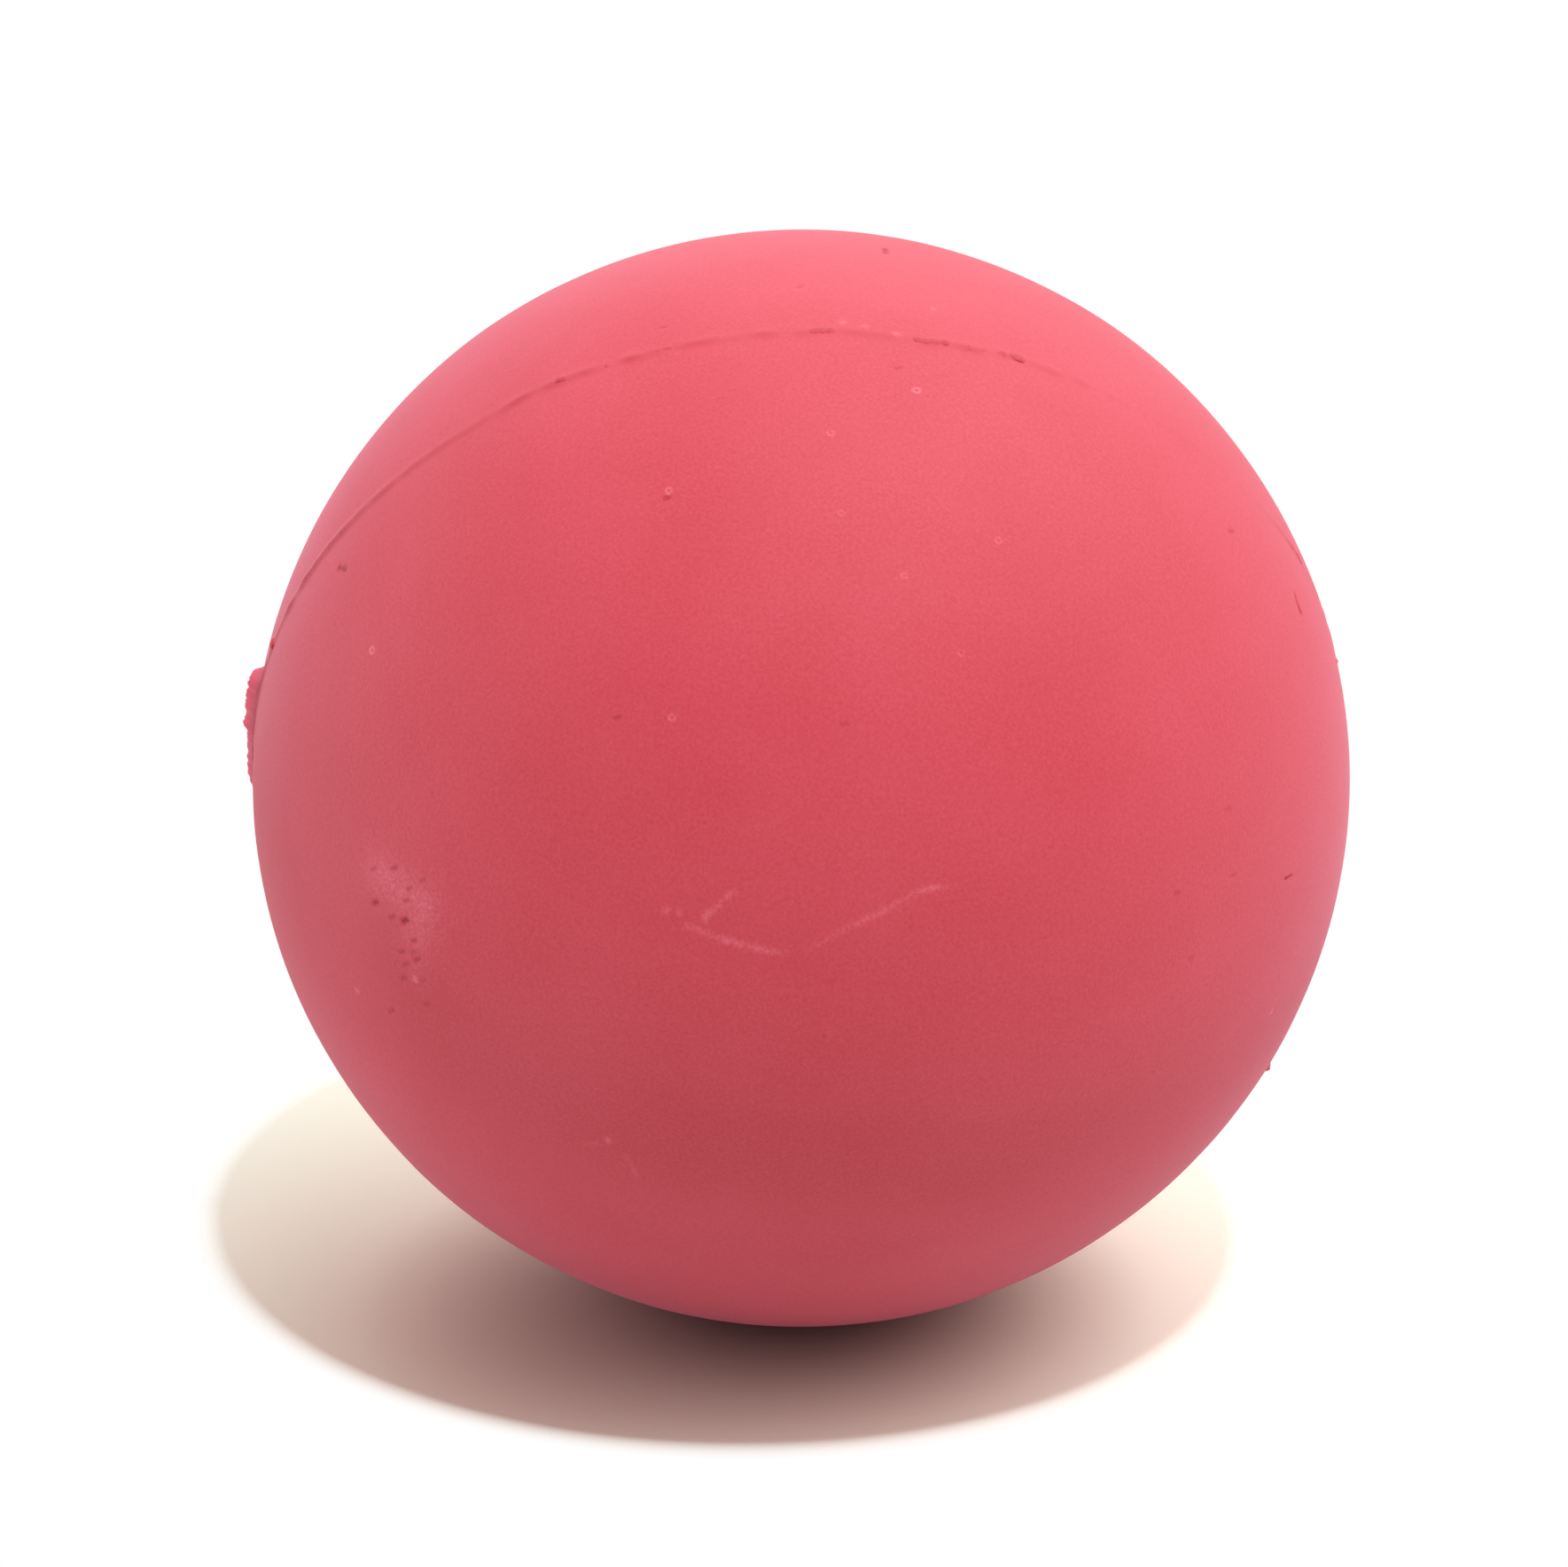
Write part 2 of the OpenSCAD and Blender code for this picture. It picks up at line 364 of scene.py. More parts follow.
def half_shell_tree():
    """A hemispherical shell above z = 0: half of an even-meshed ball, its rounded rim and its inside."""
    tree, size = new_tree("half_shell", [
        ("Ball Radius", "Float"), ("Hollow Radius", "Float"), ("Half Film", "Float"), ("Rim Edge", "Float"),
        ("Rim Land", "Float"), ("Side Vertices", "Int"), ("Rubber", "Material"),
    ])
    labels = ("Ball Radius", "Hollow Radius", "Half Film", "Rim Edge")
    radius, hollow, film, edge = (size[label] for label in labels)
    position = add(tree, "GeometryNodeInputPosition")
    height = add(tree, "ShaderNodeSeparateXYZ", {0: position}).outputs["Z"]

    # A cube's grid, spread to even angles and blown up to a ball, then cut at the seam
    count = size["Side Vertices"]
    cube = add(tree, "GeometryNodeMeshCube", {
        "Size": (2, 2, 2), "Vertices X": count, "Vertices Y": count, "Vertices Z": count,
    })
    angles = add(tree, "ShaderNodeVectorMath", {0: position, "Scale": math.pi / 4}, operation="SCALE")
    even = add(tree, "ShaderNodeVectorMath", {0: angles}, operation="TANGENT")
    blown = add(tree, "ShaderNodeVectorMath", {0: even}, operation="NORMALIZE")
    ball = add(tree, "GeometryNodeSetPosition", {"Geometry": cube, "Position": blown})
    rear = add(tree, "ShaderNodeMath", {0: height, 1: 0.0}, operation="LESS_THAN")
    half = add(tree, "GeometryNodeDeleteGeometry", {"Geometry": ball, "Selection": rear}, domain="FACE")

    def cap(cap_radius, rim_height):
        """The half ball at a radius, with its rim lifted to a height."""
        slope = add(tree, "ShaderNodeMath", {0: rim_height, 1: cap_radius}, operation="DIVIDE")
        from_top = add(tree, "ShaderNodeMath", {0: 1.0, 1: height}, operation="SUBTRACT")
        lift = add(tree, "ShaderNodeMath", {0: slope, 1: from_top}, operation="MULTIPLY")
        up = add(tree, "ShaderNodeCombineXYZ", {"Z": lift})
        lifted = add(tree, "ShaderNodeVectorMath", {0: position, 1: up}, operation="ADD")
        outward = add(tree, "ShaderNodeVectorMath", {0: lifted}, operation="NORMALIZE")
        place = add(tree, "ShaderNodeVectorMath", {0: outward, "Scale": cap_radius}, operation="SCALE")
        return add(tree, "GeometryNodeSetPosition", {"Geometry": half, "Position": place})

    # The rim grows ring by ring from the skin's open edge, which has one face, round the rounded edge and in
    # to the hollow
    edge_start = add(tree, "ShaderNodeMath", {0: film, 1: edge}, operation="ADD")
    land_top = add(tree, "ShaderNodeMath", {0: edge_start, 1: size["Rim Land"]}, operation="ADD")
    rings = [(radius, edge_start)]
    for step in range(1, EDGE_STEPS + 1):
        turn = math.pi / 2 * step / EDGE_STEPS
        out, up = math.cos(turn) - 1, 1 - math.sin(turn)
        rings.append((
            add(tree, "ShaderNodeMath", {0: edge, 1: out, 2: radius}, operation="MULTIPLY_ADD"),
            add(tree, "ShaderNodeMath", {0: edge, 1: up, 2: film}, operation="MULTIPLY_ADD"),
        ))
    rings.append((hollow, film))
    outside = cap(radius, land_top)
    faces_at_edge = add(tree, "GeometryNodeInputMeshEdgeNeighbors")
    ring = add(tree, "ShaderNodeMath", {0: faces_at_edge, 1: 2.0}, operation="LESS_THAN")
    for ring_radius, ring_height in rings:
        grown = add(tree, "GeometryNodeExtrudeMesh", {
            "Mesh": outside, "Selection": ring, "Offset Scale": 0.0,
        }, mode="EDGES")
        ring = grown.outputs["Top"]
        level = add(tree, "ShaderNodeVectorMath", {0: position, 1: (1, 1, 0)}, operation="MULTIPLY")
        outward = add(tree, "ShaderNodeVectorMath", {0: level}, operation="NORMALIZE")
        across = add(tree, "ShaderNodeVectorMath", {0: outward, "Scale": ring_radius}, operation="SCALE")
        up = add(tree, "ShaderNodeCombineXYZ", {"Z": ring_height})
        place = add(tree, "ShaderNodeVectorMath", {0: across, 1: up}, operation="ADD")
        outside = add(tree, "GeometryNodeSetPosition", {
            "Geometry": grown, "Selection": ring, "Position": place,
        })

    inside = add(tree, "GeometryNodeFlipFaces", {"Mesh": cap(hollow, film)})
    both = add(tree, "GeometryNodeJoinGeometry")
    for part in (outside, inside):
        tree.links.new(part.outputs[0], both.inputs[0])
    closed = add(tree, "GeometryNodeMergeByDistance", {"Geometry": both, "Distance": MERGE})
    finish_tree(tree, closed, size["Rubber"])
    return tree


def grow(name, tree, values, start=None):
    """An object with the mesh that a tree makes, as plain geometry."""
    piece = bpy.data.objects.new(name, start or bpy.data.meshes.new(name))
    bpy.context.scene.collection.objects.link(piece)
    modifier = piece.modifiers.new(name, "NODES")
    modifier.node_group = tree
    for item in tree.interface.items_tree:
        if item.in_out == "INPUT" and item.name in values:
            modifier[item.identifier] = values[item.name]
    graph = bpy.context.evaluated_depsgraph_get()
    made = bpy.data.meshes.new_from_object(
        piece.evaluated_get(graph), preserve_all_data_layers=True, depsgraph=graph)
    piece.modifiers.remove(modifier)
    made.name = name
    piece.data = made
    return piece


def refine(mesh, marks):
    """Splits the faces along the seam and round each mark, until a few of them cross it."""
    work = bmesh.new()
    work.from_mesh(mesh)
    edge = SHELL_EDGE
    for _ in range(REFINE_PASSES):
        faces = list(work.faces)
        centres = np.array([face.calc_center_median() for face in faces])
        near = np.abs(centres @ BACK_FROM_LIE[:, 2]) < SEAM_REACH
        near &= (np.linalg.norm(centres, axis=1) > GROOVE_R) & (edge > SEAM_FACE)
        for mark in marks:
            if mark.width < edge * FACES_ACROSS_MARK:
                near |= near_mark(mark, centres)[0] < MARK_REACH * mark.width + edge
        edges = {side for face, wanted in zip(faces, near) if wanted for side in face.edges}
        bmesh.ops.subdivide_edges(work, edges=list(edges), cuts=1, use_grid_fill=True)
        edge /= 2
    bmesh.ops.triangulate(work, faces=[face for face in work.faces if len(face.verts) > 4])
    bmesh.ops.recalc_face_normals(work, faces=work.faces)
    work.to_mesh(mesh)
    work.free()


def skin_wave(point):
    """Height of the moulded skin's unevenness at a point."""
    return sum(noise.noise(Vector(point) / length) * height for length, height in SKIN_WAVES)


def seam_noise(angle, length, seed):
    """A value between about -1 and 1 that changes along the seam."""
    turn = math.radians(angle)
    return noise.noise(Vector((math.cos(turn), math.sin(turn), seed)) * BALL_R / length)


def seam_aside(angle):
    """How far the seam's ridge lies before the seam's plane."""
    drawn = np.interp(angle, SEAM_ANGLES, SEAM_ASIDE_MM) * MM
    return drawn + SEAM_WANDER * seam_noise(angle, SEAM_BENDS, SEAM_BENDS_SEED)


def near_seam(points):
    """How far each point lies before the seam's ridge, and how much the ridge shows there."""
    places = points @ BACK_FROM_LIE
    ahead = places[:, 2].copy()
    shows = np.zeros(len(points))
    for i in np.flatnonzero(np.abs(ahead) < SEAM_REACH):
        angle = math.degrees(math.atan2(places[i, 1], places[i, 0])) % 360
        change = np.interp(angle, *SEAM_BREAKS) * seam_noise(angle, SEAM_UNEVEN, SEAM_UNEVEN_SEED)
        uneven = max(1 + change, 0)
        shows[i] = np.interp(angle, SEAM_ANGLES, SEAM_SHOWS) * uneven
        ahead[i] -= seam_aside(angle)
    return ahead, shows


def close_seam(mesh):
    """Brings the rim up to the seam, where the flash was ground off."""
    for vertex in mesh.vertices:
        x, y, z = vertex.co
        across = math.hypot(x, y)
        if z > EDGE_BELOW or across < EDGE_OUTSIDE:
            continue
        depth = math.sqrt(BALL_R ** 2 - z ** 2) - across
        height = z * SEAM_CLOSED
        to = math.sqrt(BALL_R ** 2 - height ** 2) - depth * SEAM_CLOSED
        vertex.co = (x * to / across, y * to / across, height)


def press_marks(mesh, marks):
    """Moves the outside of a half-shell in and out, and writes where it is dusty, and where grime and
    painted shade darken it.
    """
    places = np.empty(len(mesh.vertices) * 3)
    mesh.vertices.foreach_get("co", places)
    places = places.reshape(-1, 3)
    radii = np.linalg.norm(places, axis=1)
    outside = radii > SKIN_FROM
    places[outside] *= (BALL_R / radii[outside])[:, None]
    rise = np.array([skin_wave(point) for point in places]) * (radii > WAVES_FROM)
    ahead, shows = near_seam(places)
    rise += SEAM_RIDGE * shows * outside * np.exp(-(ahead / SEAM_WIDTH) ** 2)
    # The ridge's grime is dirt and painted shade, a little to its front
    grime = SEAM_GRIME_AND_PAINTED_SHADE * shows * outside * np.exp(-((ahead - SEAM_GRIME_AND_SHADE_AT) / SEAM_WIDTH) ** 2)
    dust = np.zeros(len(places))
    for mark in marks:
        away, strength = near_mark(mark, places)
        strength = strength * outside
        for i in np.flatnonzero(away < MARK_REACH * mark.width):
            away[i] *= 1 + mark.ragged * noise.noise(Vector(places[i]) / MARK_TEETH)
        away = away / (mark.width * (WEAK_WIDTH + (1 - WEAK_WIDTH) * np.sqrt(strength)))
        core = strength * np.exp(-(away / CORE_FADE) ** 2)
        lip = strength * np.exp(-((away - 1) / LIP_FADE) ** 2)
        rise += mark.press * core + mark.lip * lip
        dust = np.maximum(dust, mark.dust * (lip if mark.lip else core))
        grime = np.maximum(grime, mark.grime * core)
    places *= (1 + rise / BALL_R)[:, None]
    mesh.vertices.foreach_set("co", places.ravel())
    for name, values in (("dust", dust), ("grime", grime)):
        mesh.attributes.new(name, "FLOAT", "POINT").data.foreach_set("value", values)
    mesh.update()


def make_half_shell(name, tree, lie, marks, rubber):
    """One half-shell's skin, closed round its wall, with its marks."""
    shell = grow(name, tree, {
        "Ball Radius": BALL_R, "Hollow Radius": HOLLOW_R, "Half Film": FILM / 2, "Rim Edge": RIM_EDGE,
        "Rim Land": RIM_LAND, "Side Vertices": SHELL_SIDE_VERTICES, "Rubber": rubber,
    })
    close_seam(shell.data)
    shell.data.transform(lie)
    refine(shell.data, marks)
    press_marks(shell.data, marks)
    return shell


# Flash along the seam

# Points along a blade are this far apart, and it has so many round it
SPINE_STEP = 0.06 * MM
SECTION_POINTS = 14
# A blade bends and swells in a coarser pattern than it tears in, taken from another place
# of the noise, whose values lie round this middle
BEND_SCALE = 0.6
BEND_SEED_STEP = 5.0
NOISE_MIDDLE = 0.5


def torn_flash_tree():
    """A torn blade of rubber along a spine in the seam's plane, as high and thick as the spine says."""
    tree, size = new_tree("torn_flash", [
        ("Geometry", "Geometry"), ("Tear", "Float"), ("Tear Size", "Float"), ("Sway", "Float"),
        ("Lean", "Float"), ("Seed", "Float"), ("Rubber", "Material"),
    ])
    # Each point's place on the spine and on the section is written down, before the blade is drawn
    position = add(tree, "GeometryNodeInputPosition")
    curve = add(tree, "GeometryNodeMeshToCurve", {"Mesh": size["Geometry"]})
    circle = add(tree, "GeometryNodeCurvePrimitiveCircle", {"Resolution": SECTION_POINTS, "Radius": 1.0})
    lines = [
        add(tree, "GeometryNodeStoreNamedAttribute", {
            "Geometry": line, "Name": name, "Value": position,
        }, data_type="FLOAT_VECTOR", domain="POINT")
        for line, name in ((curve, "spine"), (circle, "section"))
    ]
    blade = add(tree, "GeometryNodeCurveToMesh", {
        "Curve": lines[0], "Profile Curve": lines[1], "Fill Caps": True,
    })
    spine, section, stand, thick = (
        add(tree, "GeometryNodeInputNamedAttribute", {"Name": name}, data_type=kind)
        for name, kind in (
            ("spine", "FLOAT_VECTOR"), ("section", "FLOAT_VECTOR"), ("stand", "FLOAT"), ("thick", "FLOAT"))
    )

    # The section's X goes from -1 at the blade's foot to 1 at its edge, and its Y from side to side
    across = add(tree, "ShaderNodeSeparateXYZ", {0: section}).outputs
    up_share = add(tree, "ShaderNodeMath", {0: across["X"], 1: 0.5, 2: 0.5}, operation="MULTIPLY_ADD")
    side_share = add(tree, "ShaderNodeMath", {0: across["Y"], 1: 0.5}, operation="MULTIPLY")

    # Tears take some of its height, and it sways, leans and swells
    pattern = add(tree, "ShaderNodeVectorMath", {0: spine, 1: size["Tear Size"]}, operation="DIVIDE")
    tear = add(tree, "ShaderNodeTexNoise", {
        "Vector": pattern, "W": size["Seed"], "Scale": 1.0, "Detail": 3.0,
    }, noise_dimensions="4D")
    bend_seed = add(tree, "ShaderNodeMath", {0: size["Seed"], 1: BEND_SEED_STEP}, operation="ADD")
    bend = add(tree, "ShaderNodeTexNoise", {
        "Vector": pattern, "W": bend_seed, "Scale": BEND_SCALE, "Detail": 1.0,
    }, noise_dimensions="4D")
    lost = add(tree, "ShaderNodeMath", {0: size["Tear"], 1: tear}, operation="MULTIPLY")
    left = add(tree, "ShaderNodeMath", {0: 1.0, 1: lost}, operation="SUBTRACT")
    top = add(tree, "ShaderNodeMath", {0: stand, 1: left}, operation="MULTIPLY")
    climb = add(tree, "ShaderNodeMath", {0: top, 1: up_share}, operation="MULTIPLY")
    to_and_fro = add(tree, "ShaderNodeMath", {0: bend, 1: NOISE_MIDDLE}, operation="SUBTRACT")
    swayed = add(tree, "ShaderNodeMath", {0: to_and_fro, 1: size["Sway"]}, operation="MULTIPLY")
    leaning = add(tree, "ShaderNodeMath", {0: swayed, 1: size["Lean"]}, operation="SUBTRACT")
    forward = add(tree, "ShaderNodeMath", {0: leaning, 1: up_share}, operation="MULTIPLY")
    swelling = add(tree, "ShaderNodeMath", {0: bend, 1: 1 - NOISE_MIDDLE}, operation="ADD")
    swollen = add(tree, "ShaderNodeMath", {0: thick, 1: swelling}, operation="MULTIPLY")
    aside = add(tree, "ShaderNodeMath", {0: swollen, 1: side_share, 2: forward}, operation="MULTIPLY_ADD")
    outward = add(tree, "ShaderNodeVectorMath", {0: spine}, operation="NORMALIZE")
    climbed = add(tree, "ShaderNodeVectorMath", {0: outward, "Scale": climb}, operation="SCALE")
    standing = add(tree, "ShaderNodeVectorMath", {0: spine, 1: climbed}, operation="ADD")
    moved = add(tree, "ShaderNodeCombineXYZ", {"Z": aside})
    place = add(tree, "ShaderNodeVectorMath", {0: standing, 1: moved}, operation="ADD")
    torn = add(tree, "GeometryNodeSetPosition", {"Geometry": blade, "Position": place})
    finish_tree(tree, torn, size["Rubber"])
    return tree


def spine_mesh(name, angles, closed, **values):
    """A line of points along the bottom of the seam's groove, with values for the blade at each point."""
    turns = [math.radians(angle) for angle in angles]
    points = [
        (GROOVE_R * math.cos(turn), GROOVE_R * math.sin(turn), seam_aside(angle))
        for turn, angle in zip(turns, angles)
    ]
    count = len(points)
    edges = [(i, (i + 1) % count) for i in range(count if closed else count - 1)]
    mesh = bpy.data.meshes.new(name)
    mesh.from_pydata(points, edges, [])
    for label, amounts in values.items():
        mesh.attributes.new(label, "FLOAT", "POINT").data.foreach_set("value", amounts)
    return mesh


def settle_blade(mesh, lie):
    """Merges a blade's doubles, points its faces outwards and puts it in its place."""
    work = bmesh.new()
    work.from_mesh(mesh)
    bmesh.ops.remove_doubles(work, verts=work.verts, dist=BLADE_MERGE)
    bmesh.ops.recalc_face_normals(work, faces=work.faces)
    work.to_mesh(mesh)
    work.free()
    mesh.transform(lie)


def make_seam_flash(tree, rubber):
    """The stub of flash that fills the seam, with the bits that trimming left higher."""
    count = round(2 * math.pi * BALL_R / SPINE_STEP)
    angles = np.arange(count) * 360 / count
    heights = np.full(count, -STUB_BELOW)
    for middle, length, height in STRIPS:
        reach = np.degrees(length * MM / BALL_R) / 2
        bulge = np.sqrt(np.clip(1 - ((angles - middle) / reach) ** 2, 0, 1))
        heights = np.maximum(heights, (height * MM + STUB_BELOW) * bulge - STUB_BELOW)
    thickness = np.interp(heights, [0, TRIMMED_H, TORN_FULL], [FILM, TRIMMED_T, TORN_T])
    torn = np.interp(heights, [TORN_FROM, TORN_FULL], [0, 1])
    # Trimmed strips are darkened with grime and painted shade, which stands for the shade on their faces
    grime = STRIP_GRIME_AND_PAINTED_SHADE * np.clip(heights / TRIMMED_H, 0, 1) ** 2 * (1 - torn)
    spine = spine_mesh(
        "flash_spine", angles, closed=True,
        stand=heights + RIM_EDGE, thick=thickness, dust=torn, grime=grime)
    flash = grow("seam_flash", tree, {**STRIPS_TEAR, "Rubber": rubber}, spine)
    settle_blade(flash.data, FRONT_LIE)
    return flash


def make_torn_tab(tree, rubber):
    """The thick tab of flash that was torn and not trimmed."""
    count = round(math.radians(TAB_ANGLES[-1] - TAB_ANGLES[0]) * BALL_R / SPINE_STEP)
    angles = np.linspace(TAB_ANGLES[0], TAB_ANGLES[-1], count)
    heights = np.interp(angles, TAB_ANGLES, TAB_HEIGHTS_MM)
    thickness = TAB_T * np.clip(heights / TAB_FULL_MM, TAB_THINNEST, 1)
    spine = spine_mesh("tab_spine", angles, closed=False, stand=heights * MM + RIM_EDGE, thick=thickness)
    tab = grow("torn_tab", tree, {**TAB_TEAR, "Rubber": rubber}, spine)
    settle_blade(tab.data, FRONT_LIE)
    return tab


# Materials
WHITE = linear("#FFFFFF")
RUBBER_IOR = 1.5
# The moulded skin: size of its clouds and of the mould's grain, the grain's depth, and the clouds' share of
# the mottling. The real grain is finer, and is drawn as coarse as it needs to show
CLOUD_SIZE = 9 * MM
GRAIN_SIZE = 0.17 * MM
GRAIN_DEPTH = 0.02 * MM
CLOUD_SHARE = 0.35
# Between these values of the grain, a mark's dust, and its grime with painted shade, go from the first to
# the second share
GRAIN_SPAN = (0.3, 0.7)
PATCHY_SPAN = (0.35, 1.65)
# The torn flash: size and depth of its crumbs, and where its section goes from its foot, painted paler, to
# its thin edge, painted redder
CRUMB_SIZE = 0.25 * MM
CRUMB_DEPTH = 0.04 * MM
THIN_SPAN = (-0.6, 0.6)
# The cement's streaks
STREAK_SIZE = 0.6 * MM


def cleared(owner):
    """The node tree of a material or a world, emptied."""
    owner.use_nodes = True
    owner.node_tree.nodes.clear()
    return owner.node_tree


def new_material(name, finish):
    """A material with its tree, and its surface shader with what is the same all over it."""
    material = bpy.data.materials.new(name)
    tree = cleared(material)
    shader = add(tree, "ShaderNodeBsdfPrincipled", finish)
    add(tree, "ShaderNodeOutputMaterial", {"Surface": shader})
    return material, tree, shader


def moulded_rubber():
    """Pink natural rubber from a sand-blasted mould: matte, softly clouded, paler at glancing angles."""
    material, tree, shader = new_material("moulded_pink_natural_rubber", {
        "Roughness": 0.65, "IOR": RUBBER_IOR,
        "Sheen Weight": 0.2, "Sheen Roughness": 0.52, "Sheen Tint": linear("#FFDAFA"),
    })
    place = add(tree, "ShaderNodeTexCoord").outputs["Object"]
    clouds = add(tree, "ShaderNodeTexNoise", {"Vector": place, "Scale": 1 / CLOUD_SIZE, "Detail": 2.0})
    grain = add(tree, "ShaderNodeTexNoise", {"Vector": place, "Scale": 1 / GRAIN_SIZE, "Detail": 3.0})
    mottle = add(tree, "ShaderNodeMix", {"Factor": CLOUD_SHARE, "A": grain, "B": clouds})
    colour = add(tree, "ShaderNodeMix", {
        "Factor": mottle, "A": linear("#CF2434"), "B": linear("#ED5C6D"),
    }, data_type="RGBA")
    # Dust, and then grime with painted shade, lie on it in the marks, broken up by the grain
    patchy = add(tree, "ShaderNodeMapRange", {
        "Value": grain, "From Min": GRAIN_SPAN[0], "From Max": GRAIN_SPAN[1],
        "To Min": PATCHY_SPAN[0], "To Max": PATCHY_SPAN[1],
    })
    for dirt_and_painted_shade, code in (("dust", "#F87486"), ("grime", "#B4000A")):
        amount = add(tree, "ShaderNodeAttribute", attribute_name=dirt_and_painted_shade).outputs["Fac"]
        broken_up = add(tree, "ShaderNodeMath", {0: amount, 1: patchy}, operation="MULTIPLY")
        colour = add(tree, "ShaderNodeMix", {
            "Factor": broken_up, "A": colour, "B": linear(code),
        }, data_type="RGBA")
    bump = add(tree, "ShaderNodeBump", {"Height": grain, "Strength": 0.25, "Distance": GRAIN_DEPTH})
    tree.links.new(colour.outputs["Result"], shader.inputs["Base Color"])
    tree.links.new(bump.outputs[0], shader.inputs["Normal"])
    return material


def flash_rubber():
    """Thin torn flash of the same rubber: light comes through it, so its edge is brighter; painted light
    makes it redder there.
    """
    material, tree, shader = new_material("torn_pink_flash_rubber", {
        "Roughness": 0.6, "IOR": RUBBER_IOR,
        "Subsurface Weight": 0.8, "Subsurface Radius": (1.0, 0.45, 0.5), "Subsurface Scale": 0.8 * MM,
    })
    place = add(tree, "ShaderNodeTexCoord").outputs["Object"]
    section = add(tree, "ShaderNodeAttribute", attribute_name="section").outputs["Vector"]
    up = add(tree, "ShaderNodeSeparateXYZ", {0: section}).outputs["X"]
    thin = add(tree, "ShaderNodeMapRange", {
        "Value": up, "From Min": THIN_SPAN[0], "From Max": THIN_SPAN[1],
    })
    crumbs = add(tree, "ShaderNodeTexNoise", {"Vector": place, "Scale": 1 / CRUMB_SIZE, "Detail": 2.0})
    # Painted light: the thin edge's redder colours stand for light coming through it
    torn = add(tree, "ShaderNodeMix", {
        "Factor": crumbs, "A": linear("#FF5A76"), "B": linear("#FF7690"),
    }, data_type="RGBA")
    # Painted light: the foot is paler, lifting the shade where the flash meets the ball
    colour = add(tree, "ShaderNodeMix", {
        "Factor": thin, "A": linear("#FF7C8E"), "B": torn,
    }, data_type="RGBA")
    bump = add(tree, "ShaderNodeBump", {"Height": crumbs, "Strength": 0.3, "Distance": CRUMB_DEPTH})
    tree.links.new(colour.outputs["Result"], shader.inputs["Base Color"])
    tree.links.new(bump.outputs[0], shader.inputs["Normal"])
    return material


def dried_cement():
    """Dried rubber cement in the seam: dark rose, a little glossier than the moulded skin."""
    material, tree, shader = new_material("dried_rubber_cement", {"Roughness": 0.45, "IOR": RUBBER_IOR})
    place = add(tree, "ShaderNodeTexCoord").outputs["Object"]
    streaks = add(tree, "ShaderNodeTexNoise", {"Vector": place, "Scale": 1 / STREAK_SIZE, "Detail": 2.0})
    colour = add(tree, "ShaderNodeMix", {
        "Factor": streaks, "A": linear("#9A2F3E"), "B": linear("#B8434F"),
    }, data_type="RGBA")
    tree.links.new(colour.outputs["Result"], shader.inputs["Base Color"])
    return material


# Floor, light and view

# Half the floor's side
FLOOR_HALF = 3.0
CARD = "#CBC9C6"
# For the camera the card goes from the first colour, a painted shade that deepens the shadow round the
# ball's contact, to the second, which is linear and a little past white, between these distances from the
# shade's middle
CARD_PAINTED_SHADE = "#9C8182"
CARD_SEEN = (1.15, 1.19, 1.02, 1)
PAINTED_SHADE_MIDDLE = (-3 * MM, -2 * MM, FLOOR_Z)
LIFT_FROM = 4 * MM
LIFT_TO = 25 * MM
# Outside the shadow it is painted plain white, between these distances from the shadow's middle, so this
# oval paints the shadow's edge
WHITE_FROM = 33 * MM
WHITE_TO = 34.8 * MM
# The lamp: the way to it from the ball, how far off and how wide it is, and its power
LAMP_SLOPE = (0.165, -0.42, 1.0)
LAMP_DISTANCE = 0.7
LAMP_DIAMETER = 0.05
LAMP_WATTS = 2.1
# Wide soft lights of the room: degrees round from the camera's side to the right, degrees up, strength
SOFT_LIGHTS = [(84, 45, 2.4), (168, 45, 2.3), (270, 8, 2.35)]
# How fast a soft light fades from its middle, as a power of the cosine
SOFT_FALL = 6.0


def looked_at(tree):
    """1 where the camera looks at a surface, straight or in a mirror or through glass, and else 0."""
    path = add(tree, "ShaderNodeLightPath").outputs
    seen = path["Is Camera Ray"]
    for ray in ("Is Glossy Ray", "Is Transmission Ray"):
        seen = add(tree, "ShaderNodeMath", {0: seen, 1: path[ray]}, operation="MAXIMUM")
    return seen


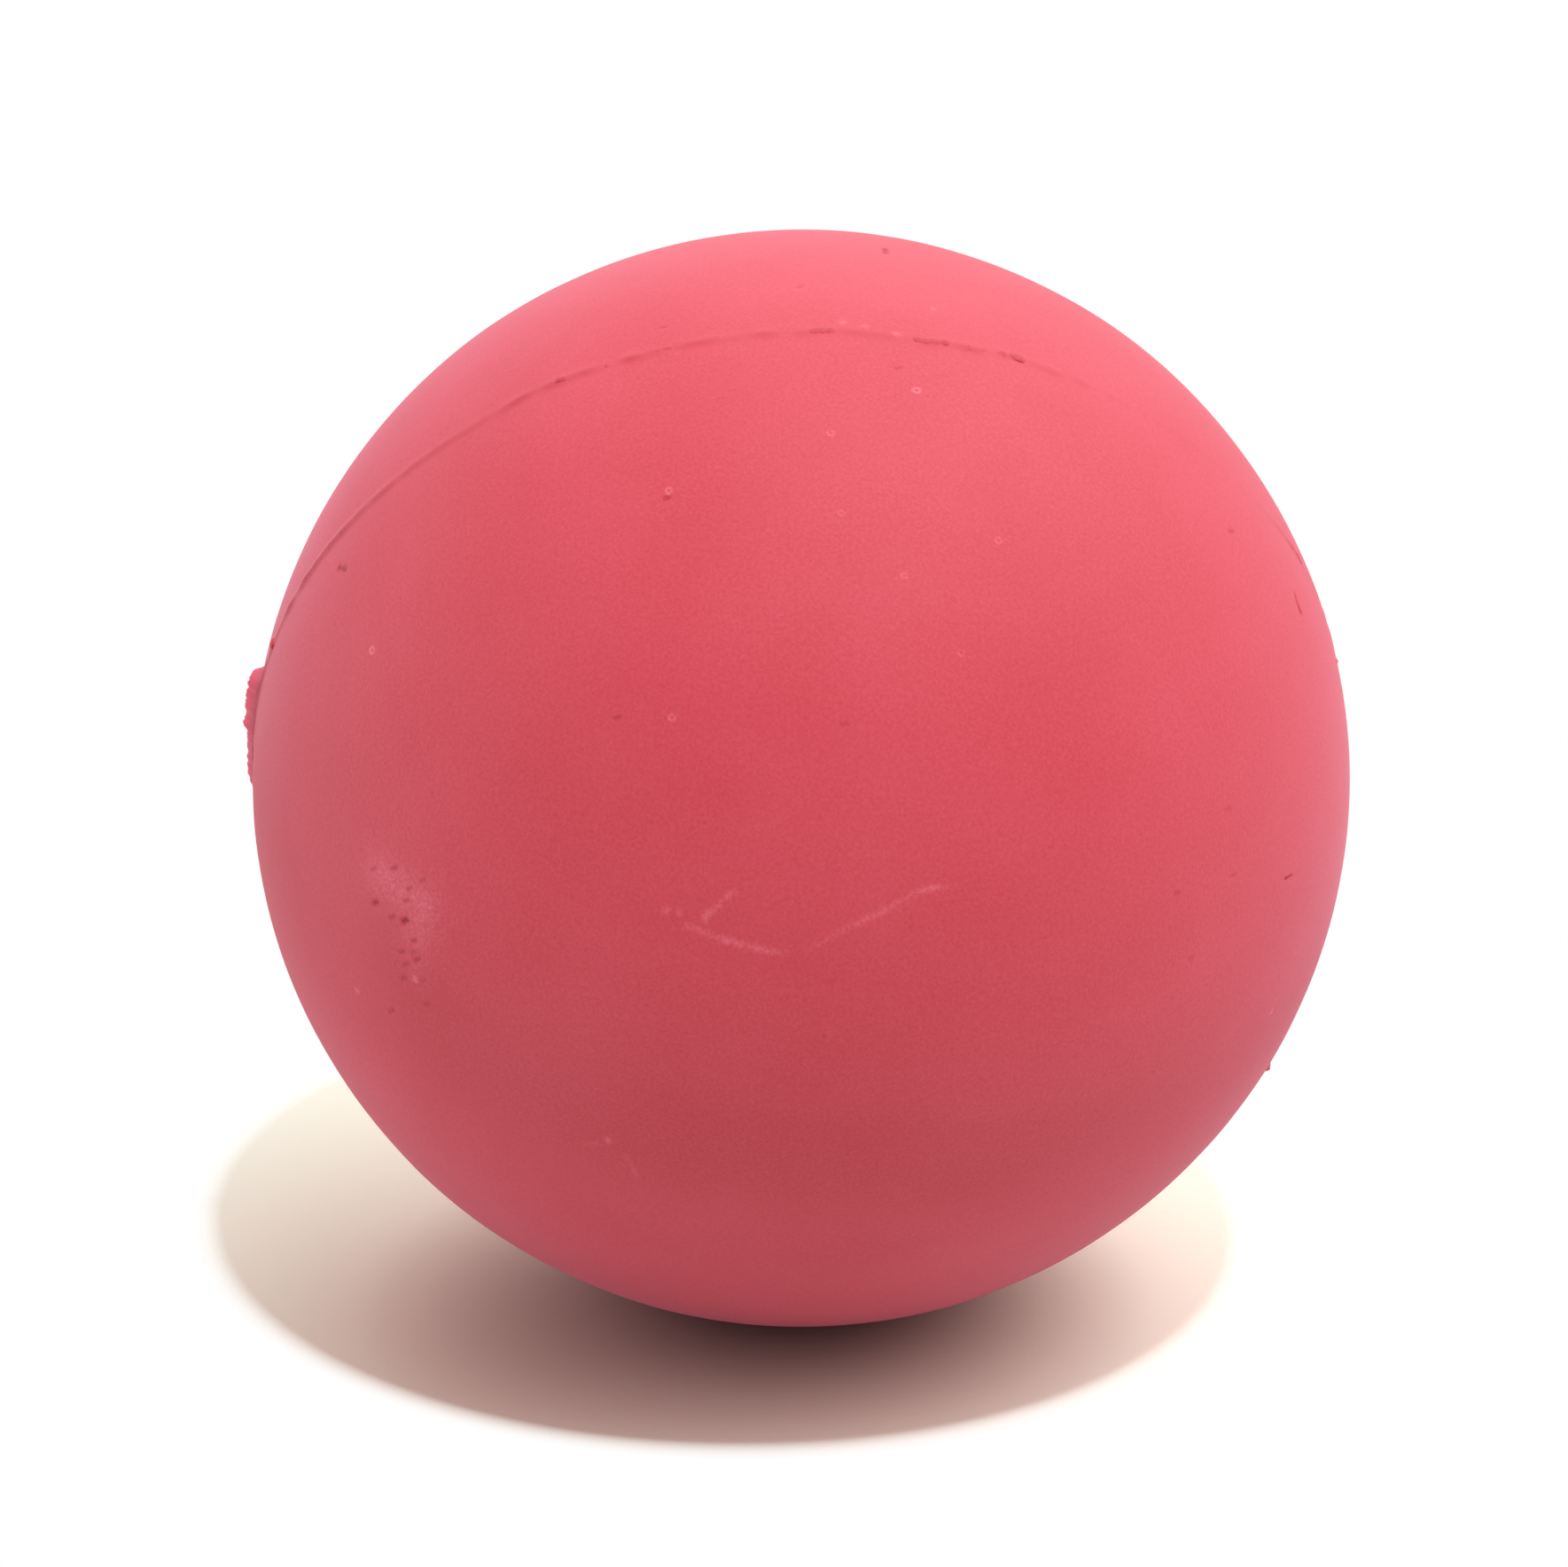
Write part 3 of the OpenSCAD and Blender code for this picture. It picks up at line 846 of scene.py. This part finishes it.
def make_floor():
    """A pale card under the ball, lifted to white for the camera, with painted shade near the ball and
    painted white round its shadow.
    """
    material = bpy.data.materials.new("pale_card")
    tree = cleared(material)
    card = add(tree, "ShaderNodeBsdfDiffuse", {"Color": linear(CARD)})
    white = add(tree, "ShaderNodeEmission", {"Color": WHITE, "Strength": 1.0})
    place = add(tree, "ShaderNodeTexCoord").outputs["Object"]

    def farther(middle, turn, stretch, start, end):
        """0 nearer to a point than the start, 1 beyond the end, in an oval along its turned Y."""
        oval = add(tree, "ShaderNodeMapping", {
            "Vector": place, "Location": middle, "Rotation": (0, 0, turn), "Scale": (1, stretch, 1),
        }, vector_type="TEXTURE")
        away = add(tree, "ShaderNodeVectorMath", {0: oval}, operation="LENGTH")
        return add(tree, "ShaderNodeMapRange", {"Value": away, "From Min": start, "From Max": end})

    # Painted shade: for the camera the card is darker towards the ball, deepening its cast shadow
    lift = farther(PAINTED_SHADE_MIDDLE, 0, 1, LIFT_FROM, LIFT_TO)
    colour = add(tree, "ShaderNodeMix", {
        "Factor": lift, "A": linear(CARD_PAINTED_SHADE), "B": CARD_SEEN,
    }, data_type="RGBA")
    lifted = add(tree, "ShaderNodeBsdfDiffuse", {"Color": colour})
    slope = Vector(LAMP_SLOPE)
    shadow_middle = slope * (FLOOR_Z / slope.z)
    shadow_turn = math.atan2(slope.x, -slope.y)
    shadow_stretch = slope.length / slope.z
    # Painted light: white outside an oval that traces the shadow, which draws the shadow's crisp edge
    outside = farther(shadow_middle, shadow_turn, shadow_stretch, WHITE_FROM, WHITE_TO)
    shown = add(tree, "ShaderNodeMixShader", {0: outside, 1: lifted, 2: white})
    mixed = add(tree, "ShaderNodeMixShader", {0: looked_at(tree), 1: card, 2: shown})
    add(tree, "ShaderNodeOutputMaterial", {"Surface": mixed})
    mesh = bpy.data.meshes.new("floor")
    corners = [(x * FLOOR_HALF, y * FLOOR_HALF, FLOOR_Z) for x, y in ((-1, -1), (1, -1), (1, 1), (-1, 1))]
    mesh.from_pydata(corners, [], [(0, 1, 2, 3)])
    mesh.materials.append(material)
    floor = bpy.data.objects.new("floor", mesh)
    bpy.context.scene.collection.objects.link(floor)


def make_light():
    """A small lamp overhead that draws the shadow, and a softly lit room that the camera sees as white."""
    data = bpy.data.lights.new("overhead_lamp", "AREA")
    data.shape = "DISK"
    data.size = LAMP_DIAMETER
    data.energy = LAMP_WATTS
    lamp = bpy.data.objects.new("overhead_lamp", data)
    lamp.location = Vector(LAMP_SLOPE).normalized() * LAMP_DISTANCE
    lamp.rotation_euler = (-lamp.location).to_track_quat("-Z", "Y").to_euler()
    bpy.context.scene.collection.objects.link(lamp)
    world = bpy.data.worlds.new("white_room")
    bpy.context.scene.world = world
    tree = cleared(world)
    way = add(tree, "ShaderNodeTexCoord").outputs["Generated"]
    total = 0.0
    for turn, rise, strength in SOFT_LIGHTS:
        turn, rise = math.radians(turn), math.radians(rise)
        toward = (math.sin(turn) * math.cos(rise), -math.cos(turn) * math.cos(rise), math.sin(rise))
        facing = add(tree, "ShaderNodeVectorMath", {0: way, 1: toward}, operation="DOT_PRODUCT")
        ahead = add(tree, "ShaderNodeMath", {0: facing, 1: 0.0}, operation="MAXIMUM")
        glow = add(tree, "ShaderNodeMath", {0: ahead, 1: SOFT_FALL}, operation="POWER")
        total = add(tree, "ShaderNodeMath", {0: glow, 1: strength, 2: total}, operation="MULTIPLY_ADD")
    room = add(tree, "ShaderNodeBackground", {"Color": WHITE, "Strength": total})
    white = add(tree, "ShaderNodeBackground", {"Color": WHITE, "Strength": 1.0})
    mixed = add(tree, "ShaderNodeMixShader", {0: looked_at(tree), 1: room, 2: white})
    add(tree, "ShaderNodeOutputWorld", {"Surface": mixed})


# The ball
camera = make_camera()
make_floor()
make_light()
rubber = moulded_rubber()
flash = flash_rubber()
marks = seen_marks(camera) + hidden_marks(camera)
shell_tree = half_shell_tree()
flash_tree = torn_flash_tree()
front = make_half_shell("front_shell", shell_tree, FRONT_LIE, marks, rubber)
rear = make_half_shell("rear_shell", shell_tree, REAR_LIE, marks, rubber)
strips = make_seam_flash(flash_tree, rubber)
tab = make_torn_tab(flash_tree, flash)
pieces = [
    (front, "front_half_shell", "shell_rubber"),
    (rear, "rear_half_shell", "shell_rubber"),
    (strips, "flash_strips", "flash_rubber"),
    (tab, "flash_tab", "flash_rubber"),
]
for piece, node, slot in pieces:
    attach(piece, "root")
    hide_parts(node)
cement = frame["nodes"]["seam_cement"]
cement.data.materials.clear()
cement.data.materials.append(dried_cement())

bpy.context.scene.view_settings.view_transform = "Standard"
